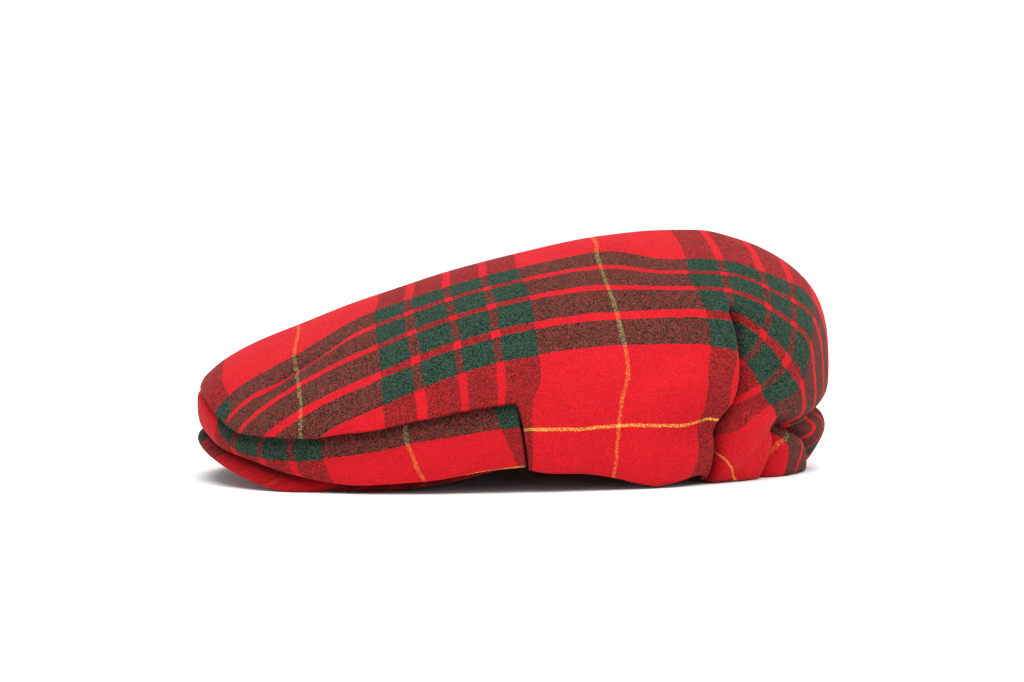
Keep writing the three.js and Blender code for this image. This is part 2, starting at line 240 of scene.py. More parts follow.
def plan(angle):
    """The cap's outline from above."""
    c, s = np.cos(np.radians(angle)), np.sin(np.radians(angle))
    power = 2 / PLAN_POWER
    x = LENGTH / 2 * np.sign(c) * np.abs(c) ** power
    y = -WIDTH / 2 * np.sign(s) * np.abs(s) ** power
    return np.stack([x, y], -1)


def half_width(x):
    left = np.maximum(1 - np.abs(2 * x / LENGTH) ** PLAN_POWER, 0)
    return np.maximum(WIDTH / 2 * left ** (1 / PLAN_POWER), 1e-6)


def fallen(across, power):
    """The share of its height that the crown has lost at a share of the half width."""
    def soft(u):
        return (u * u + RIDGE_SOFTNESS**2) ** (power / 2) - RIDGE_SOFTNESS**power
    return soft(np.minimum(across, 1)) / soft(1.0)


def roof_height(x, across, belly):
    kept = np.maximum(1 - fallen(across, ridge("fall", x)), 0) ** (1 / ridge("wall", x))
    return belly + (ridge("z", x) - belly) * kept


def smooth_cloth(angle, turn):
    """The cloth before any fold: over the dome to its widest place at turn 90, then in to the hem."""
    angle, turn = np.broadcast_arrays(np.asarray(angle, float), np.asarray(turn, float))
    rim = plan(angle)
    belly = section("belly", angle)
    flat = rim * np.sin(np.radians(np.minimum(turn, 90)))[..., None]
    across = np.abs(flat[..., 1]) / half_width(flat[..., 0])
    dome = np.where(turn < 90, roof_height(flat[..., 0], across, belly), belly)
    low = np.maximum(turn, 90)
    drawn = (1 - np.sin(np.radians(low))) / (1 - np.sin(np.radians(HEM_TURN)))
    down = np.cos(np.radians(low)) / np.cos(np.radians(HEM_TURN))
    inward = rim / np.linalg.norm(rim, axis=-1, keepdims=True) * (section("tuck", angle) * drawn)[..., None]
    height = dome - (belly - hem_height(angle)) * down
    return np.concatenate([flat - inward, height[..., None]], -1)


SEARCH_TOP = 5.0
SEARCH_HALVINGS = 40


def seam_turn(angle):
    """The turn at which the cloth reaches the front seam's line."""
    above = np.full(np.shape(angle), SEARCH_TOP)
    below = np.full(np.shape(angle), HEM_TURN)
    for halving in range(SEARCH_HALVINGS):
        middle = (above + below) / 2
        high = smooth_cloth(angle, middle)[..., 2] > section("seam", angle)
        above, below = np.where(high, middle, above), np.where(high, below, middle)
    return above


def outward(angle, turn):
    """The smooth cloth's normal."""
    step = 0.2
    low = np.maximum(turn - step, step)
    along = smooth_cloth(angle + step, turn) - smooth_cloth(angle - step, turn)
    down = smooth_cloth(angle, low + 2 * step) - smooth_cloth(angle, low)
    normal = np.cross(along, down)
    return normal / np.linalg.norm(normal, axis=-1, keepdims=True)


# Folds of the crown: the valleys that the elastic draws in, the crease above them, and the darts.
GATHERS = [
    {"angle": 49, "width": 3.4, "depth": 2.2, "lean": -0.45},
    {"angle": 40, "width": 2.2, "depth": 8, "lean": 0},
    {"angle": 21, "width": 2.8, "depth": 10, "lean": 1.1},
    {"angle": 3, "width": 3.2, "depth": 8, "lean": 0.3},
    {"angle": -11, "width": 3, "depth": 6, "lean": -0.3},
    {"angle": -24, "width": 2.8, "depth": 9, "lean": -0.7},
    {"angle": -38, "width": 2.4, "depth": 7, "lean": 0.2},
    {"angle": -49, "width": 3.2, "depth": 3, "lean": 0.3},
]
GATHER_TOP = 30
GATHER_FULL = 19
PUFF = {"angle": 24, "height": 18, "width": 15, "spread": 8, "depth": -2.6}
TUCK = {"depth": 7, "sharp": 2.6, "end": 46, "run_out": 12}
TUCK_LINE = {"height": 28, "falls": 7, "fall_from": 10, "fall_to": 40}
DART_ANGLE = 56
DART_APEX = 74
DART_FADE = 6
DART_DEPTH = 5
DART_WIDTH = 0.5
DART_PULL = {"depth": 1.4, "width": 5}
DART_SHADE = {"dark": 0.95, "width": 1.3}
DART_REACH = 14
DART_LINE = Table("height angle", [
    (0, 58.2),
    (19, 59),
    (26.5, 58.6),
    (32, 55.1),
    (39, 53),
    (51, 50.8),
    (61, 48.8),
    (70, 47.3),
    (90, 46.5),
])
LIP_STEP = {"depth": 3.2, "start": -0.2, "full": 0.5, "run_out": 6, "top": 70, "bottom": 22, "fade": 10}
LIP_MARKS = [
    {"angle": 64, "height": 38, "width": 8, "spread": 9, "depth": -2.2},
    {"angle": 64, "height": 23, "width": 7, "spread": 4, "depth": 3},
]


def tuck_height(reach):
    fallen_by = smoothstep(reach, TUCK_LINE["fall_from"], TUCK_LINE["fall_to"])
    return TUCK_LINE["height"] - TUCK_LINE["falls"] * fallen_by


def gathered_in(side, height):
    """How far the elastic's folds draw the cloth in."""
    depth = np.zeros(np.shape(height))
    for fold in GATHERS:
        valley = fold["angle"] + fold["lean"] * (height - GATHER_FULL / 2)
        depth += fold["depth"] * np.exp(-np.abs(side - valley) / fold["width"])
    return depth * (1 - smoothstep(height, GATHER_FULL, GATHER_TOP))


def drawn_in(angle, height, from_dart):
    """How far the folds draw the cloth in at a place."""
    side, reach = side_of(angle), from_back(angle)
    crease = TUCK["depth"] * np.exp(-np.abs(height - tuck_height(reach)) / TUCK["sharp"])
    depth = crease * (1 - smoothstep(reach, TUCK["end"] - TUCK["run_out"], TUCK["end"]))
    depth += gathered_in(side, height)
    opened = 1 - smoothstep(height, DART_APEX - DART_FADE, DART_APEX)
    off = np.abs(from_dart)
    depth += opened * DART_DEPTH * np.exp(-off / DART_WIDTH)
    depth += opened * DART_PULL["depth"] * bell(off, DART_PULL["width"])
    under = smoothstep(-from_dart, LIP_STEP["start"], LIP_STEP["full"])
    under *= np.exp(np.minimum(from_dart, 0) / LIP_STEP["run_out"])
    beside = 1 - smoothstep(height, LIP_STEP["top"] - LIP_STEP["fade"], LIP_STEP["top"])
    beside *= smoothstep(height, LIP_STEP["bottom"], LIP_STEP["bottom"] + LIP_STEP["fade"])
    depth += LIP_STEP["depth"] * under * beside
    for mark in [PUFF, *LIP_MARKS]:
        spot = bell(reach - mark["angle"], mark["width"]) * bell(height - mark["height"], mark["spread"])
        depth += mark["depth"] * spot
    return depth


# The end seam of the strip leans back towards the hem.
TEMPLE_LEAN = {"turn": 0.85, "from": 10, "to": 36, "reach": 8}


def temple_shift(angle, height):
    near = bell(from_back(angle) - TEMPLE_ANGLE, TEMPLE_LEAN["reach"]) * np.sign(np.sin(np.radians(angle)))
    return -TEMPLE_LEAN["turn"] * near * (1 - smoothstep(height, TEMPLE_LEAN["from"], TEMPLE_LEAN["to"]))


# The crown's grid: columns round the cap from the middle of the back, rows from the top to the hem.
COLUMNS = [
    (0, 53, 84),
    (53, DART_ANGLE, 11),
    (DART_ANGLE, 59, 11),
    (59, TEMPLE_ANGLE, 36),
    (TEMPLE_ANGLE, 180, 108),
]
DOME_ROWS = 66
BAND_ROWS = 32
LAST_DOME_ROW = 0.995
EDGE_ROLL = [(0.15, 0.3), (0.8, 0.5), (2.2, 0.3)]
EDGE_BULGE = {"depth": 0.3, "above": 3.5, "spread": 3.0}
EDGE_FROM = TEMPLE_ANGLE + 0.3
SEAM_PUCKER = {"depth": 0.5, "lift": 0.7, "along": 1.4, "scale": 9, "seed": 7, "reach": 9}
RUMPLE = 0.6
RUMPLE_WAVES = {"scale": 26, "seed": 3}
RUMPLE_FADE = (3, 25)
HEM_CLEAR = 0.45
HEM_SETTLES = 6


def column_angles():
    half = [np.linspace(low, high, count, endpoint=False) for low, high, count in COLUMNS]
    half = np.concatenate([*half, [180.0]])
    return np.concatenate([half, 360 - half[-2::-1]])


def cloth_grid(columns, rows):
    """A flat grid as a new bmesh, and the column and row of each of its vertices."""
    bm = bmesh.new()
    bmesh.ops.create_grid(bm, x_segments=columns - 1, y_segments=rows - 1, size=1)
    flat = np.array([vert.co[:2] for vert in bm.verts])
    column = np.rint((flat[:, 0] + 1) / 2 * (columns - 1)).astype(int)
    row = np.rint((flat[:, 1] + 1) / 2 * (rows - 1)).astype(int)
    return bm, column, row


def place_cloth(bm, points):
    for vert, point in zip(bm.verts, points * MM):
        vert.co = point


def wander(points, scale, seed):
    """Slow random unevenness at each place, from -1 to 1."""
    shift = Vector((seed, 0.5 * seed, 0))
    return np.array([noise.noise(Vector(point) / scale + shift) for point in points])


def finish_cloth(bm, name, cloth, uv, thickness, painted_shade):
    """Closes the grid's seams and makes it an object: uv gives each corner's place on the flat cloth, and
    the painted shade of each vertex is stored as an attribute for the cloth's colour.
    """
    mesh = bpy.data.meshes.new(name)
    bm.to_mesh(mesh)
    bm.free()
    mesh.attributes.new("painted_shade", "FLOAT", "POINT").data.foreach_set("value", painted_shade.astype(np.float32))
    layer = mesh.uv_layers.new(name="cloth")
    corner = np.zeros(len(mesh.loops), np.int32)
    mesh.loops.foreach_get("vertex_index", corner)
    layer.uv.foreach_set("vector", uv(mesh, corner).astype(np.float32).ravel())
    bm = bmesh.new()
    bm.from_mesh(mesh)
    bmesh.ops.remove_doubles(bm, verts=bm.verts, dist=1e-5)
    bmesh.ops.recalc_face_normals(bm, faces=bm.faces)
    bm.to_mesh(mesh)
    bm.free()
    mesh.shade_smooth()
    piece = bpy.data.objects.new(name, mesh)
    scene.collection.objects.link(piece)
    mesh.materials.append(cloth)
    if thickness:
        wall = piece.modifiers.new("wall", "SOLIDIFY")
        wall.thickness = thickness * MM
        wall.offset = -1
    return piece


# Where a place on the crown lies on the flat cloth.
# There u runs along the cap from a yellow line, and v across it from the ridge.
SETT = 131.2
YELLOW_X = 34.5
ARC_STEPS = 48
DROP_STEPS = 16


def arc_length(points):
    return np.linalg.norm(np.diff(points, axis=-2), axis=-1).sum(-1)


def polar_angle(x, y):
    c = np.sign(x) * np.abs(2 * x / LENGTH) ** (PLAN_POWER / 2)
    s = np.abs(2 * y / WIDTH) ** (PLAN_POWER / 2)
    return np.degrees(np.arctan2(s, c))


def dome_height(x, y):
    across = np.minimum(np.abs(y) / half_width(x), 1)
    return roof_height(x, across, section("belly", polar_angle(x, y)))


def across_length(x, y):
    """Cloth from the ridge down to a place, straight across the cap."""
    width = half_width(x)
    sweep = np.arcsin(np.minimum(np.abs(y) / width, 1))[..., None] * np.linspace(0, 1, ARC_STEPS)
    side = width[..., None] * np.sin(sweep)
    return arc_length(np.stack([side, dome_height(x[..., None] + 0 * side, side)], -1))


def along_length(x, y):
    """Cloth from the yellow line to a place, straight along the cap."""
    left = np.maximum(1 - np.minimum(2 * np.abs(y) / WIDTH, 1) ** PLAN_POWER, 1e-9)
    reach = np.maximum(LENGTH / 2 * left ** (1 / PLAN_POWER), YELLOW_X)
    start = np.arcsin(YELLOW_X / reach)
    sweep = np.arcsin(np.clip(x / reach, -1, 1)) - start
    length = reach[..., None] * np.sin(start[..., None] + sweep[..., None] * np.linspace(0, 1, ARC_STEPS))
    path = np.stack([length, dome_height(length, y[..., None] + 0 * length)], -1)
    return np.sign(x - YELLOW_X) * arc_length(path)


def drop_length(angle, turn):
    """Cloth down the wall from the widest place."""
    turns = 90 + np.maximum(turn - 90, 0)[..., None] * np.linspace(0, 1, DROP_STEPS)
    return arc_length(smooth_cloth(angle[..., None] + 0 * turns, turns))


def pulled(pulls, **measures):
    """How far seams and folds pull the cloth at each place, in all.

    A pull has a length, faded from the first to the second of two values of a measure,
    or kept near a value of it, within a width.
    """
    total = 0
    for pull in pulls:
        share = pull["by"]
        for name, measure in measures.items():
            if name in pull:
                share = share * smoothstep(measure, *pull[name])
            if "near_" + name in pull:
                middle, width = pull["near_" + name]
                share = share * bell(measure - middle, width)
        total = total + share
    return total


# The ridge is pulled tight at the front and the rear, so less cloth lies beside it there.
RIDGE_PULLS = [{"by": 9, "x": (-66, -98)}, {"by": 11, "x": (30, 64)}]
RIDGE_SLACK = {"to": 44, "end": 82}


def eased_roof(v, x):
    beside = smoothstep(v, 0, RIDGE_SLACK["to"]) * smoothstep(v, RIDGE_SLACK["end"], RIDGE_SLACK["to"])
    return v - pulled(RIDGE_PULLS, x=x) * beside


# The side's cross stripes are pulled along by the seams: the pull at each place along the cap.
SEAM_PULL = Table("x pull", [
    (-128, 0),
    (-108, 1.2),
    (-94, 3.4),
    (-76, 6.5),
    (-60, 8.5),
    (-46, 8),
    (-30, 3.5),
    (-13.6, -1.4),
    (2, -3.3),
    (18, -2),
    (33, 0),
])
SEAM_PULL_FADE = (20, 75)
SIDE_PULLS_ALONG = [
    {"by": -6, "near_v": (90, 26), "x": (-20, 75)},
    {"by": 2, "v": (10, 40)},
    {"by": 2.5, "v": (120, 155), "x": (-20, 40)},
    {"by": -8, "v": (25, 80), "x": (-10, -45)},
    {"by": 2, "x": (-70, -95)},
    {"by": 3, "v": (20, 80), "x": (-70, -95)},
    {"by": -1.6, "v": (84, 108), "near_x": (-35, 28)},
    {"by": 4, "v": (106, 120), "near_x": (0, 14)},
    {"by": 2.9, "near_v": (116, 14), "near_x": (85, 20)},
    {"by": -2.7, "near_v": (108, 12), "near_x": (37, 22)},
    {"by": -5, "v": (20, 38), "x": (-108, -126)},
    {"by": 3.5, "v": (42, 54), "x": (-108, -126)},
]
SIDE_TURN_PULLS = [{"by": -3, "v": (64, 96)}]
SIDE_HEM_PULLS = [
    {"by": 4.2, "v": (100, 124), "reach": (84, 94)},
    {"by": 4.5, "v": (100, 124), "reach": (67, 61)},
]


def side_cloth(angle, turn):
    place = smooth_cloth(angle, np.minimum(turn, 90))
    x, y = place[..., 0], place[..., 1]
    v = eased_roof(across_length(x, y), x) + drop_length(angle, turn)
    v += pulled(SIDE_TURN_PULLS, v=v)
    u = along_length(x, 0 * y) + pulled(SIDE_PULLS_ALONG, x=x, v=v)
    u += SEAM_PULL.at("pull", x) * smoothstep(v, *SEAM_PULL_FADE)
    v += pulled(SIDE_HEM_PULLS, v=v, reach=from_back(angle))
    return np.stack([u, v], -1)


# One crease in the front of the left side, along a red line of the cloth, which it hides.
CREASE_LINE = Table("u strength v", [
    (-160, 0, 60),
    (-152, 0.4, 57),
    (-143, 0.9, 52.5),
    (-134, 1, 49.5),
    (-122, 0.8, 49.2),
    (-106, 0, 49.2),
])
CREASE = {"depth": 2.6, "width": 3, "takes": 3.6, "sharp": 2.2, "fades": 9}


def crease_place(cloth):
    """How strong the crease is at a place on the cloth, and how far the place lies below its valley."""
    u, v = cloth[..., 0], cloth[..., 1]
    return CREASE_LINE.at("strength", u), v - CREASE_LINE.at("v", u)


# The back panel's cloth fans out below the top, and its tuck hides a strip of it.
BACK_FAN = 40
BACK_TOP_END = 80
BACK_CORNER = {"bend": 0.036, "from": 62, "fade": (75, 35)}
TUCK_TAKES = 12
TUCK_HIDES = (-1, 3)
BACK_PULLS_ALONG = [
    {"by": -2.5, "u": (55, 68)},
    {"by": -4, "near_height": (40, 12), "near_reach": (36, 9)},
    {"by": 7, "height": (38, 28), "reach": (36, 46)},
    {"by": -12, "height": (18, 4), "reach": (37, 42)},
    {"by": -4, "height": (16, 24), "near_reach": (22, 10)},
    {"by": 4, "height": (34, 48), "near_reach": (22, 10)},
]
BACK_PULLS_ACROSS = [
    {"by": 15, "u": (64, 100), "v": (0, 38)},
    {"by": -11.25, "u": (64, 100), "v": (64, 92)},
]
DART_FOOT = [{"by": 1, "height": (30, 22), "reach": (46, 50)}]
FOOT_YELLOW = {"reach": 55.7, "height": 8.3, "per_degree": 1.9, "per_mm": -1.2}


def back_cloth(angle, turn):
    place = smooth_cloth(angle, np.minimum(turn, 90))
    x, y = place[..., 0], np.abs(place[..., 1])
    drop = drop_length(angle, turn)
    fan = np.radians(BACK_FAN) * np.clip(from_back(angle) / DART_ANGLE, 0, 1)
    corner = BACK_CORNER["bend"] * np.maximum(y - BACK_CORNER["from"], 0) ** 2
    corner *= smoothstep(place[..., 2], *BACK_CORNER["fade"])
    height, reach = smooth_cloth(angle, turn)[..., 2], from_back(angle)
    u = along_length(x, y) + corner + drop * np.cos(fan)
    u += pulled(BACK_PULLS_ALONG, u=u, height=height, reach=reach)
    hidden = smoothstep(tuck_height(reach) - height, *TUCK_HIDES)
    near = np.minimum(x, BACK_TOP_END)
    v = eased_roof(across_length(near, np.minimum(y, half_width(near))), near)
    v += pulled(BACK_PULLS_ACROSS, u=u, v=v) + drop * np.sin(fan)
    foot = SETT + FOOT_YELLOW["per_degree"] * (reach - FOOT_YELLOW["reach"])
    foot += FOOT_YELLOW["per_mm"] * (height - FOOT_YELLOW["height"])
    v += (foot - v) * pulled(DART_FOOT, height=height, reach=reach)
    return np.stack([u + TUCK_TAKES * hidden, v], -1)


PANEL_BLEND = {"sewn": 0.4, "merged": 13, "from": DART_APEX - 2, "to": DART_APEX + 16}


def panel_share(angle, height):
    """How much of the back panel's cloth a place has: the panels meet at the dart and merge above it."""
    merged = smoothstep(height, PANEL_BLEND["from"], PANEL_BLEND["to"])
    blend = PANEL_BLEND["sewn"] + PANEL_BLEND["merged"] * merged
    return 1 - smoothstep(from_back(angle), DART_ANGLE - blend, DART_ANGLE + blend)


class Wire:
    """One socket of a material's nodes, so that sums of wires and numbers are written as they are read."""

    def __init__(self, tree, socket=None):
        self.tree = tree
        self.socket = socket

    def node(self, kind, settings=None, sockets=None, out=0):
        made = self.tree.nodes.new(kind)
        for name, value in (settings or {}).items():
            setattr(made, name, value)
        for name, value in (sockets or {}).items():
            if isinstance(value, Wire):
                self.tree.links.new(value.socket, made.inputs[name])
            else:
                made.inputs[name].default_value = value
        return Wire(self.tree, made.outputs[out])

    def math(self, operation, *values):
        return self.node("ShaderNodeMath", {"operation": operation}, dict(enumerate(values)))

    def __add__(self, other):
        return self.math("ADD", self, other)

    def __sub__(self, other):
        return self.math("SUBTRACT", self, other)

    def __rsub__(self, other):
        return self.math("SUBTRACT", other, self)

    def __mul__(self, other):
        return self.math("MULTIPLY", self, other)

    def __truediv__(self, other):
        return self.math("DIVIDE", self, other)

    def __mod__(self, other):
        return self.math("FLOORED_MODULO", self, other)

    def __lt__(self, other):
        return self.math("LESS_THAN", self, other)

    def __gt__(self, other):
        return self.math("GREATER_THAN", self, other)

    def __abs__(self):
        return self.math("ABSOLUTE", self)

    __radd__ = __add__
    __rmul__ = __mul__

    def floor(self):
        return self.math("FLOOR", self)

    def blend(self, first, second):
        """A colour between two, by this wire's value."""
        settings = {"data_type": "RGBA"}
        return self.node("ShaderNodeMix", settings, {0: self, 6: first, 7: second}, out=2)

    def scaled(self, factor):
        """This colour made lighter or darker."""
        return self.node("ShaderNodeVectorMath", {"operation": "SCALE"}, {0: self, 3: factor})


RED = (0.465, 0.0072, 0.0131, 1)
GREEN = (0.019, 0.046, 0.03, 1)
YELLOW = (0.72, 0.32, 0.06, 1)
WEFT_YELLOW_HALF = 0.85
WARP_YELLOW_HALF = 0.7
# Painted shade: how far the piece's painted-shade attribute darkens the cloth, and the deeper red that the
# shaded cloth turns.
SHADE_DARKENS = 0.85
SHADE_TINT = (1, 0.2, 0.25)
DARK_STRIPES = [(35.2, 47.7), (51.3, 63.8)]
THREAD = 0.42
TWILL_THREADS = 4
GRAIN_ROUGHNESS = 0.6
# How far the threads wander from their straight lines: slowly together, and each strand by itself.
DRIFT = 1.2
DRIFT_GRAIN = (0.12, 2)
STRAND = 0.35
WEFT_GRAIN = (1.9, 2)
WARP_GRAIN = (2.3, 2)
SECOND_CHANCE = 1.37
# How often the warp lies on top, everywhere and more along the twill's ribs.
WARP_ON_TOP = {"least": 0.4, "rib": 0.48, "over_weft_yellow": 0.3, "in_yellow": -0.18, "yellow_rib": 0.08}
# How much darker a thread is where it lies among threads of another colour.
WEFT_SUNK = {"in_dark": 0.5, "dark_in_red": 0.6, "yellow_in_dark": 0.02}
WARP_SUNK = {"in_dark": 0.3, "dark_in_red": 0.34, "dark_by_yellow": -0.8}
# How far the brushed nap mixes the threads' colours, and how much of the mix is warp.
NAP = {"mixes": 0.45, "dark": 0.12, "yellow": 0.2, "warp": 0.65, "warp_by_yellow": 0.15}
SPECKLE = {"red": 0.3, "warp_dark": 0.8, "weft_dark": 0.5, "thread": 1.5, "clump": 1.7, "darkest": 0.15}
CLUMP_GRAIN = (1.7, 3)
MOTTLE = 0.25
MOTTLE_GRAIN = (0.05, 3)
FUZZ_GRAIN = (1.4, 4)
FUZZ = {"thread": 0.5, "strength": 0.5, "height": 0.0004}
WOOL_FINISH = {
    "Roughness": 0.92,
    "Specular IOR Level": 0.09,
    "Sheen Weight": 0.04,
    "Sheen Roughness": 0.45,
    "Sheen Tint": (1, 0.75, 0.7, 1),
}


def tartan_wool(name):
    """Brushed twill in a red, green and yellow tartan, woven from the piece's own cloth coordinates, with
    shade painted in where the piece's attribute asks for it.
    """
    cloth = bpy.data.materials.new(name)
    cloth.use_nodes = True
    tree = cloth.node_tree
    start = Wire(tree)
    flat = start.node("ShaderNodeUVMap", {"uv_map": "cloth"})
    u = start.node("ShaderNodeSeparateXYZ", None, {0: flat}, out=0)
    v = start.node("ShaderNodeSeparateXYZ", None, {0: flat}, out=1)

    def grain(scale, detail):
        sockets = {"Vector": flat, "Scale": scale, "Detail": detail, "Roughness": GRAIN_ROUGHNESS}
        return start.node("ShaderNodeTexNoise", {"noise_dimensions": "2D"}, sockets)

    drift = DRIFT * (grain(*DRIFT_GRAIN) - 0.5)
    weft_strand = STRAND * (grain(*WEFT_GRAIN) - 0.5)
    warp_strand = STRAND * (grain(*WARP_GRAIN) - 0.5)
    weft = ((u + drift + weft_strand) / THREAD).floor()
    warp = ((v - drift + warp_strand) / THREAD).floor()

    def stripes(thread, yellow_half):
        from_yellow = abs(((thread + 0.5) * THREAD + SETT / 2) % SETT - SETT / 2)
        dark = start.math("ADD", 0, 0)
        for low, high in DARK_STRIPES:
            dark = dark + (from_yellow > low) * (from_yellow < high)
        yellow = from_yellow < yellow_half
        return dark, yellow, yellow.blend(dark.blend(RED, GREEN), YELLOW)

    weft_dark, weft_yellow, weft_colour = stripes(weft, WEFT_YELLOW_HALF)
    warp_dark, warp_yellow, warp_colour = stripes(warp, WARP_YELLOW_HALF)
    crossing = start.node("ShaderNodeCombineXYZ", None, {0: weft, 1: warp})
    second = crossing.scaled(SECOND_CHANCE)
    chance = start.node("ShaderNodeTexWhiteNoise", {"noise_dimensions": "2D"}, {"Vector": crossing})
    other = start.node("ShaderNodeTexWhiteNoise", {"noise_dimensions": "2D"}, {"Vector": second})
    yellow_on_light = weft_yellow * (1 - warp_dark)
    dark_weft_on_light = weft_dark * (1 - warp_dark)
    dark_warp_on_light = warp_dark * (1 - weft_dark)

    rib = (weft - warp) % TWILL_THREADS < TWILL_THREADS / 2
    least = WARP_ON_TOP["least"] + WARP_ON_TOP["over_weft_yellow"] * yellow_on_light
    least = least + WARP_ON_TOP["in_yellow"] * warp_yellow
    on_top = chance < least + (WARP_ON_TOP["rib"] + WARP_ON_TOP["yellow_rib"] * weft_yellow) * rib
    weft_sunk = (WEFT_SUNK["in_dark"] + WEFT_SUNK["yellow_in_dark"] * weft_yellow) * warp_dark
    weft_sunk = weft_sunk + WEFT_SUNK["dark_in_red"] * dark_weft_on_light
    warp_sunk = (WARP_SUNK["dark_in_red"] + WARP_SUNK["dark_by_yellow"] * weft_yellow) * dark_warp_on_light
    warp_sunk = warp_sunk + WARP_SUNK["in_dark"] * dark_weft_on_light * (1 - warp_yellow)
    weft_seen = weft_colour.scaled(1 - weft_sunk)
    warp_seen = warp_colour.scaled(1 - warp_sunk)
    threads = on_top.blend(weft_seen, warp_seen)

    nap = (NAP["warp"] + NAP["warp_by_yellow"] * yellow_on_light).blend(weft_seen, warp_seen)
    brushed = NAP["mixes"] + NAP["dark"] * (warp_dark + weft_dark)
    brushed = brushed + NAP["yellow"] * weft_yellow * (1 - 2 * warp_dark)
    colour = brushed.blend(threads, nap)
    rough = SPECKLE["red"] + SPECKLE["warp_dark"] * warp_dark + SPECKLE["weft_dark"] * dark_weft_on_light
    speckle = SPECKLE["thread"] * (other - 0.5) + SPECKLE["clump"] * (grain(*CLUMP_GRAIN) - 0.5)
    light = 1 + rough * speckle + MOTTLE * (grain(*MOTTLE_GRAIN) - 0.5)
    light = start.math("MAXIMUM", light, SPECKLE["darkest"])
    # Painted shade: the piece's attribute darkens the colour and deepens its red in seams, valleys and
    # under overhangs.
    painted_shade = start.node("ShaderNodeAttribute", {"attribute_name": "painted_shade"}, out=2)
    light = light * (1 - SHADE_DARKENS * painted_shade)
    deep = start.node("ShaderNodeVectorMath", {"operation": "MULTIPLY"}, {0: colour, 1: SHADE_TINT})
    colour = painted_shade.blend(colour, deep)
    shader = tree.nodes["Principled BSDF"]
    tree.links.new(colour.scaled(light).socket, shader.inputs["Base Color"])
    for socket, value in WOOL_FINISH.items():
        shader.inputs[socket].default_value = value
    fuzz = other * FUZZ["thread"] + grain(*FUZZ_GRAIN)
    sockets = {"Strength": FUZZ["strength"], "Distance": FUZZ["height"], "Height": fuzz}
    bump = start.node("ShaderNodeBump", None, sockets)
    tree.links.new(bump.socket, shader.inputs["Normal"])
    return cloth


# Painted shade on the crown, along the dart and under its lip, under the front edge's roll and in the
# gathers' valleys: how far each reaches, in degrees, rows or millimetres.
DART_GROOVE_SHADE_WIDTH = 0.45
LIP_SHADE_START = 0.3
EDGE_SHADE_ROWS = (0.6, 2)
VALLEY_SHADE = 0.75
VALLEY_DEPTHS = (4, 10)
NEAREST_TURN = 0.05
PANEL_BY_FACE = 0.04


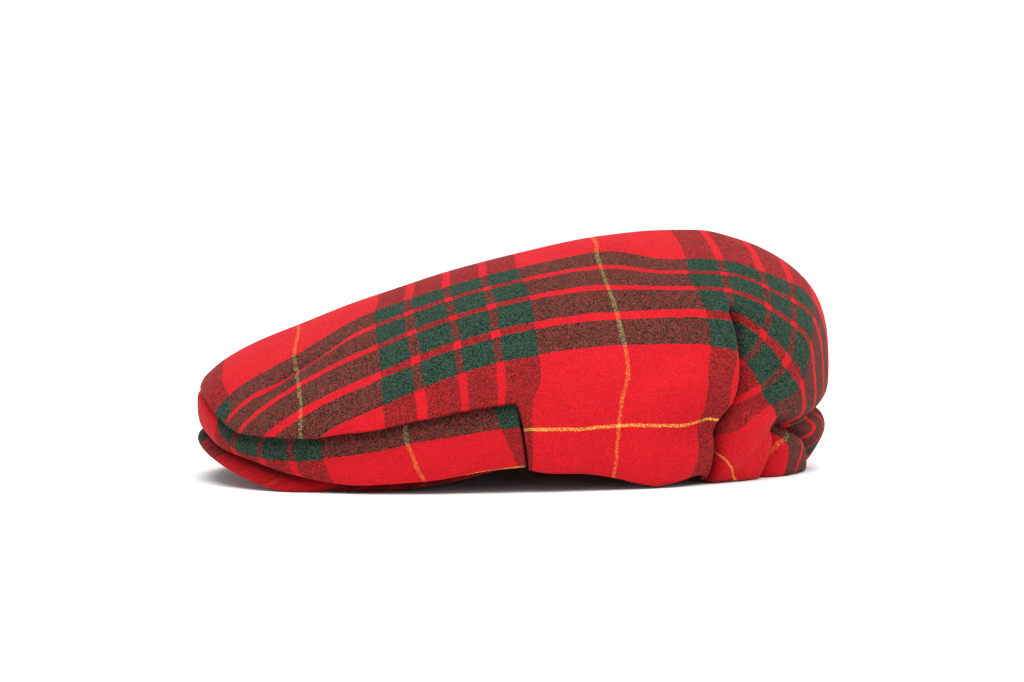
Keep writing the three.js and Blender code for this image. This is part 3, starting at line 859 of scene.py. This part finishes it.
def make_crown():
    angles = column_angles()
    bm, column, row = cloth_grid(len(angles), DOME_ROWS + BAND_ROWS + 1)
    angle = angles[column]
    seams = seam_turn(angles)[column]
    share = np.clip((row - DOME_ROWS) / BAND_ROWS, 0, 1)
    down = np.where(row < DOME_ROWS, LAST_DOME_ROW * row / (DOME_ROWS - 1), 1)
    turn = np.where(row <= DOME_ROWS, seams * down, seams + (HEM_TURN - seams) * share)
    plain = smooth_cloth(angle, turn)
    near = bell(from_back(angle) - DART_ANGLE, DART_REACH) * np.sign(np.sin(np.radians(angle)))
    shift = (DART_LINE.at("angle", plain[:, 2]) - DART_ANGLE) * near
    true = angle + shift + temple_shift(angle, plain[:, 2])
    point = smooth_cloth(true, turn)
    normal = outward(true, np.maximum(turn, 1))
    reach = np.linalg.norm(point[:, :2], axis=1)
    inward = -point[:, :2] / np.maximum(reach, 1)[:, None]
    folded = drawn_in(true, point[:, 2], from_back(angle) - DART_ANGLE)
    point[:, :2] += inward * (folded * (reach > 1))[:, None]
    lively = smoothstep(turn, *RUMPLE_FADE)
    side_place = side_cloth(true, np.maximum(turn, NEAREST_TURN))
    strength, below = crease_place(side_place)
    strength = strength * (side_of(angle) > 0)
    valley = CREASE["depth"] * strength * np.exp(-np.abs(below) / CREASE["width"])
    uneven = RUMPLE * lively * wander(plain, RUMPLE_WAVES["scale"], RUMPLE_WAVES["seed"])
    point += normal * (uneven - valley)[:, None]
    hidden = np.tanh(below / CREASE["sharp"]) * np.exp(-np.abs(below) / CREASE["fades"])
    side_place[:, 1] += CREASE["takes"] * strength * hidden

    # The front edge swells a little above the seam and rolls under.
    front = from_back(angle) > EDGE_FROM
    seam = smooth_cloth(true, seams)
    above = np.linalg.norm(plain - seam, axis=1)
    swell = EDGE_BULGE["depth"] * bell(above - EDGE_BULGE["above"], EDGE_BULGE["spread"])
    swell *= front * (row <= DOME_ROWS)
    around = np.stack([angle * SEAM_PUCKER["along"], 0 * angle, 0 * angle], -1)
    pucker = wander(around, SEAM_PUCKER["scale"], SEAM_PUCKER["seed"])
    close = front * bell(above, SEAM_PUCKER["reach"])
    point += normal * (swell + SEAM_PUCKER["depth"] * close * pucker)[:, None]
    point[:, 2] += SEAM_PUCKER["lift"] * close * pucker
    edge = row - DOME_ROWS
    for step, (inset, drop) in enumerate(EDGE_ROLL, 1):
        rolled = front & (edge == step)
        base = seam + normal * (SEAM_PUCKER["depth"] * pucker)[:, None]
        base[:, 2] += SEAM_PUCKER["lift"] * pucker - drop
        point[rolled] = (base - normal * inset)[rolled]
    point[:, 2] = np.maximum(point[:, 2], HEM_CLEAR)

    bm.verts.ensure_lookup_table()
    unwanted = []
    for face in bm.faces:
        index = [vert.index for vert in face.verts]
        middle = angle[index].mean()
        if from_back(middle) > TEMPLE_ANGLE and row[index].max() > DOME_ROWS + len(EDGE_ROLL):
            unwanted.append(face)
    bmesh.ops.delete(bm, geom=unwanted, context="FACES_ONLY")
    place_cloth(bm, point)

    # Where the hem lies nearly flat, it is lifted so that its inside stays above the table.
    first, last = column == 0, column == len(angles) - 1
    for settling in range(HEM_SETTLES):
        bm.normal_update()
        facing = np.array([vert.normal.z for vert in bm.verts])
        inside = point[:, 2] - CLOTH * np.maximum(facing, 0)
        lift = np.maximum(HEM_CLEAR - inside, 0) * (row > DOME_ROWS)
        lift[first] = lift[last] = np.maximum(lift[first], lift[last])
        point[:, 2] += lift
        place_cloth(bm, point)

    # Painted shade: dark along the dart and under the side panel's lip, on the front edge's rolled rows,
    # and in the deepest valleys of the gathers.
    by_dart = np.abs(from_back(angle) - DART_ANGLE)
    behind = DART_ANGLE - from_back(angle)
    under_lip = smoothstep(behind, 0, LIP_SHADE_START) * np.exp(-np.maximum(behind, 0) / DART_SHADE["width"])
    painted_dart_shade = np.maximum(bell(by_dart, DART_GROOVE_SHADE_WIDTH), DART_SHADE["dark"] * under_lip)
    painted_dart_shade *= 1 - smoothstep(point[:, 2], DART_APEX - DART_FADE, DART_APEX)
    valleys = VALLEY_SHADE * smoothstep(gathered_in(side_of(true), plain[:, 2]), *VALLEY_DEPTHS)
    painted_shade = np.maximum(painted_dart_shade, front * smoothstep(edge, *EDGE_SHADE_ROWS))
    painted_shade = np.maximum(painted_shade, valleys)
    back_place = back_cloth(true, np.maximum(turn, NEAREST_TURN))

    def uv(mesh, corner):
        faces = np.repeat(np.arange(len(mesh.polygons)), 4)
        middle = (np.bincount(faces, angle[corner]) / 4)[faces]
        own = (1 - PANEL_BY_FACE) * angle[corner] + PANEL_BY_FACE * middle
        back = panel_share(own, plain[corner, 2])[:, None]
        place = side_place[corner] * (1 - back) + back_place[corner] * back
        place[:, 1] *= np.where(side_of(middle) < 0, -1, 1)
        return place

    return finish_cloth(bm, "crown_cloth", tartan_wool("crown_wool"), uv, CLOTH, painted_shade)


crown = make_crown()
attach(crown, "root")
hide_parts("crown")

# Front strip
# A band of the same cloth, cut along one of the dark stripes and sewn under the crown's front edge.
# It is deep at the temples and narrow at the front, and its lower edge is turned under over the peak.
STRIP_CLOTH = 1.8
SEWN_GAP = 0.3
TUCK_ROOM = 0.1
TUCKED_BEHIND = CLOTH + SEWN_GAP + TUCK_ROOM
STRIP_TONGUE = 3.5
TONGUE_BLEND = 0.7
TONGUE_HIDDEN = 0.1
TONGUE_COLUMNS = 28
STRIP_COLUMNS = 260
STRIP_TUCKED_ROWS = 6
STRIP_GROOVE_ROWS = 6
STRIP_FACE_ROWS = 30
STRIP_LIP_ROWS = 6
STRIP_TOP_SHARE = -0.26
STRIP_GROOVE_SHARES = (0.02, 0.12)
STRIP_FACE_TOP_SHARE = 0.16
STRIP_FLUSH = {"amount": 0.6, "angles": (148, 168), "shares": (0.02, 0.08)}
STRIP_RUMPLE = {"scale": 22, "seed": 11, "shares": (0.05, 0.3)}
STRIP_INSET = Table("share inset", [
    (STRIP_TOP_SHARE, TUCKED_BEHIND),
    (0, TUCKED_BEHIND),
    (0.025, 2.6),
    (0.05, 1.2),
    (0.07, 0.6),
    (0.11, 0.35),
    (0.25, 0.3),
    (0.7, 0.3),
    (0.9, 0.5),
    (1, 1.2),
])
TURNED_UNDER = Table("angle length", [(88, 2), (125, 2), (138, 6), (180, 7)])
DARK_SHOWN = Table("angle shown", [
    (88, 11),
    (98, 10.5),
    (110, 9.3),
    (140, 9),
    (150, 7.5),
    (158, 4.5),
    (166, -1),
    (180, -4),
])
DARK_EDGE = 96
STRIP_YELLOW_ALONG = 62
STRIP_END = {"from": 15, "to": 50, "shift": 2.8}
STRIP_SLANT = {"middle": 0.42, "less_at_end": 0.14, "swings": 4}
STRIP_FULLNESS = {"front": 1.5, "more_at_temple": 0.8, "angles": (112, 99)}
STRIP_SHADE = {"seam": (2.1, 1), "soft": 0.2, "soft_depths": (15, 4), "tongue": (0.5, 1)}
PEAK_FRONT_TOP = 20.5
PEAK_RISE = 0.3
PEAK_ARCH = 0.0049
PEAK_FLATTENED = 3.5
PEAK_CLEARING = {"from": 2.5, "to": 0.5}
PEAK_INSET = Table("angle inset", [(96, 8), (120, 6.6), (127, 6), (134, 1), (150, 0.4), (180, 0)])


def peak_arch(x, y):
    return PEAK_FRONT_TOP + PEAK_RISE * (x + LENGTH / 2) - PEAK_ARCH * y * y


def clear_of_peak(point, angle, clearance):
    """Lifts the strip's lower edge over the peak."""
    inset = np.linalg.norm(plan(angle), axis=-1) - np.linalg.norm(point[..., :2], axis=-1)
    edge = PEAK_INSET.at("inset", from_back(angle))
    over = smoothstep(inset, edge - PEAK_CLEARING["from"], edge - PEAK_CLEARING["to"])
    top = np.maximum(peak_arch(point[..., 0], point[..., 1]), PEAK_FLATTENED)
    point[..., 2] = np.maximum(point[..., 2], (top + clearance) * over)
    return point


def make_strip():
    ends = TEMPLE_ANGLE - STRIP_TONGUE
    tongue = np.linspace(ends, TEMPLE_ANGLE + STRIP_TONGUE, TONGUE_COLUMNS, endpoint=False)
    middle = np.linspace(TEMPLE_ANGLE + STRIP_TONGUE, 360 - TEMPLE_ANGLE - STRIP_TONGUE, STRIP_COLUMNS)
    angles = np.concatenate([tongue, middle, 360 - tongue[::-1]])
    bm, column, row = cloth_grid(len(angles), STRIP_FACE_ROWS + STRIP_LIP_ROWS + 1)
    angle = angles[column]
    face_rows = STRIP_FACE_ROWS + 1 - STRIP_TUCKED_ROWS - STRIP_GROOVE_ROWS
    tucked = np.linspace(STRIP_TOP_SHARE, 0, STRIP_TUCKED_ROWS)
    groove = np.linspace(*STRIP_GROOVE_SHARES, STRIP_GROOVE_ROWS)
    shares = np.concatenate([tucked, groove, np.linspace(STRIP_FACE_TOP_SHARE, 1, face_rows)])
    share = shares[np.minimum(row, STRIP_FACE_ROWS)]
    lip = np.maximum(row - STRIP_FACE_ROWS, 0) / STRIP_LIP_ROWS
    seams = seam_turn(angles)[column]
    turn = seams + (HEM_TURN - seams) * share
    hidden = 1 - smoothstep(from_back(angle) - TEMPLE_ANGLE, TONGUE_HIDDEN, TONGUE_BLEND)
    flush = STRIP_FLUSH["amount"] * smoothstep(share, *STRIP_FLUSH["shares"])
    flush *= smoothstep(from_back(angle), *STRIP_FLUSH["angles"])
    inset = np.maximum(STRIP_INSET.at("inset", share) * (1 - flush), TUCKED_BEHIND * hidden)
    true = angle + temple_shift(angle, smooth_cloth(angle, turn)[:, 2])
    point = smooth_cloth(true, turn) - outward(true, turn) * inset[:, None]
    uneven = RUMPLE * wander(point, STRIP_RUMPLE["scale"], STRIP_RUMPLE["seed"])
    uneven *= smoothstep(share, *STRIP_RUMPLE["shares"])
    point += outward(angle, turn) * uneven[:, None]
    under = TURNED_UNDER.at("length", from_back(angle)) * lip
    inward = point[:, :2] / np.linalg.norm(point[:, :2], axis=1, keepdims=True)
    point[:, :2] -= inward * under[:, None]
    point = clear_of_peak(point, angle, SEWN_GAP + STRIP_CLOTH * np.sign(lip))
    place_cloth(bm, point)

    # The cross stripes follow the strip's length from the temple, the dark stripe lies under the seam.
    outline = plan(angles)
    length = np.concatenate([[0], np.cumsum(np.linalg.norm(np.diff(outline, axis=0), axis=1))])
    along = length[column]
    whole = length[-1]
    near_end = 1 - smoothstep(np.minimum(along, whole - along), STRIP_END["from"], STRIP_END["to"])
    slant = STRIP_SLANT["middle"] - STRIP_SLANT["less_at_end"] * near_end
    slant *= np.tanh(STRIP_SLANT["swings"] * (1 - 2 * along / whole))
    depth = np.linalg.norm(point - smooth_cloth(angle, seams), axis=1) * np.where(share < 0, -1, 1)
    below_dark = depth - DARK_SHOWN.at("shown", from_back(angle))
    fullness = STRIP_FULLNESS["more_at_temple"] * smoothstep(from_back(angle), *STRIP_FULLNESS["angles"])
    across = np.where(below_dark < 0, below_dark, (STRIP_FULLNESS["front"] + fullness) * below_dark)
    start = STRIP_YELLOW_ALONG - STRIP_END["shift"] * near_end * np.sign(whole / 2 - along)
    places = np.stack([along - start + slant * depth, DARK_EDGE + across], -1)
    # Painted shade: darkest just under the crown's edge, a little over the strip's upper part, and on the
    # tongue hidden behind the crown.
    soft = STRIP_SHADE["soft"] * smoothstep(depth, *STRIP_SHADE["soft_depths"])
    painted_shade = np.maximum(smoothstep(depth, *STRIP_SHADE["seam"]), soft)
    painted_shade = np.maximum(painted_shade, smoothstep(hidden, *STRIP_SHADE["tongue"]))

    def uv(mesh, corner):
        return places[corner]

    return finish_cloth(bm, "front_strip_cloth", tartan_wool("strip_wool"), uv, STRIP_CLOTH, painted_shade)


strip = make_strip()
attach(strip, "root")
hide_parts("front_strip")

# Peak
# A stiff crescent covered in the same cloth, tucked under the strip so that only its edge shows.
# It is arched, falls towards the front, and rests on the table at both sides.
PEAK_THICKNESS = 6.0
PEAK_END_ANGLE = 96.0
PEAK_COLUMNS = 150
PEAK_TOP_ROWS = 14
PEAK_EDGE_ROWS = 10
HEAD = {"x": 25, "half_length": 97, "half_width": 89}
# The peak's cloth: how its stripes run along and across, and the shade painted on it, some all over and
# most under the strip and towards the rear.
PEAK_ALONG = {"x": 103, "per_x": 1.2, "side": 60, "per_side": 0.3, "drop": 2, "per_drop": 2.2}
PEAK_ACROSS = {"start": 84, "per_side": 0.45, "side_end": 75, "per_drop": 0.6}
PEAK_SHADE = {"least": 0.28, "more": 0.5, "x": (-92, -72), "rows": (7, -1)}


def head_reach(place):
    """How far the head opening's edge lies from the middle of the cap, in the direction of a place."""
    x, y = place[..., 0] / HEAD["half_length"], place[..., 1] / HEAD["half_width"]
    centre = HEAD["x"] / HEAD["half_length"]
    square = x * x + y * y
    half = x * centre
    root = np.sqrt(half * half + square * (1 - centre * centre))
    return np.linalg.norm(place, axis=-1) * (half + root) / square


def make_peak():
    rows = 2 * PEAK_TOP_ROWS + PEAK_EDGE_ROWS + 1
    angles = np.linspace(PEAK_END_ANGLE, 360 - PEAK_END_ANGLE, PEAK_COLUMNS)
    bm, column, row = cloth_grid(PEAK_COLUMNS, rows)
    angle = angles[column]
    rim = plan(angle)
    edge = np.linalg.norm(rim, axis=1) - PEAK_INSET.at("inset", from_back(angle))
    inner = head_reach(rim)
    ahead = rim / np.linalg.norm(rim, axis=1, keepdims=True)
    over_edge = np.clip((row - PEAK_TOP_ROWS) / PEAK_EDGE_ROWS, 0, 1) * np.pi
    top = np.minimum(row, rows - 1 - row) / PEAK_TOP_ROWS
    half = PEAK_THICKNESS / 2
    flat_end = edge - half
    reach = inner + (flat_end - inner) * np.minimum(top, 1) + half * np.sin(over_edge) * (top >= 1)
    flat = ahead * reach[:, None]
    drop = half - half * np.cos(over_edge)
    height = peak_arch(flat[:, 0], flat[:, 1]) - drop
    pressed = PEAK_FLATTENED * (1 - drop / PEAK_THICKNESS)
    height = np.maximum(height, pressed)
    point = np.concatenate([flat, height[:, None]], 1)
    place_cloth(bm, point)
    side = np.abs(flat[:, 1])
    u = PEAK_ALONG["per_x"] * (flat[:, 0] + PEAK_ALONG["x"])
    u += PEAK_ALONG["per_side"] * (side - PEAK_ALONG["side"])
    u += PEAK_ALONG["per_drop"] * (drop - PEAK_ALONG["drop"])
    v = PEAK_ACROSS["start"] + PEAK_ACROSS["per_side"] * np.minimum(side, PEAK_ACROSS["side_end"])
    v += PEAK_ACROSS["per_drop"] * drop
    places = np.stack([u, v], -1)
    # Painted shade: some all over the peak, more on its top under the strip and towards the rear.
    shaded = smoothstep(row - PEAK_TOP_ROWS, *PEAK_SHADE["rows"])
    shaded = np.maximum(shaded, smoothstep(flat[:, 0], *PEAK_SHADE["x"]))
    painted_shade = PEAK_SHADE["least"] + PEAK_SHADE["more"] * shaded

    def uv(mesh, corner):
        return places[corner]

    piece = finish_cloth(bm, "peak_cover", tartan_wool("peak_wool"), uv, 0, painted_shade)
    bm = bmesh.new()
    bm.from_mesh(piece.data)
    loose = [edge for edge in bm.edges if edge.is_boundary]
    bmesh.ops.holes_fill(bm, edges=loose, sides=0)
    bmesh.ops.recalc_face_normals(bm, faces=bm.faces)
    bm.to_mesh(piece.data)
    bm.free()
    return piece


peak = make_peak()
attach(peak, "root")
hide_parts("peak")

# The scene is brought up to date at the end.
bpy.context.view_layer.update()
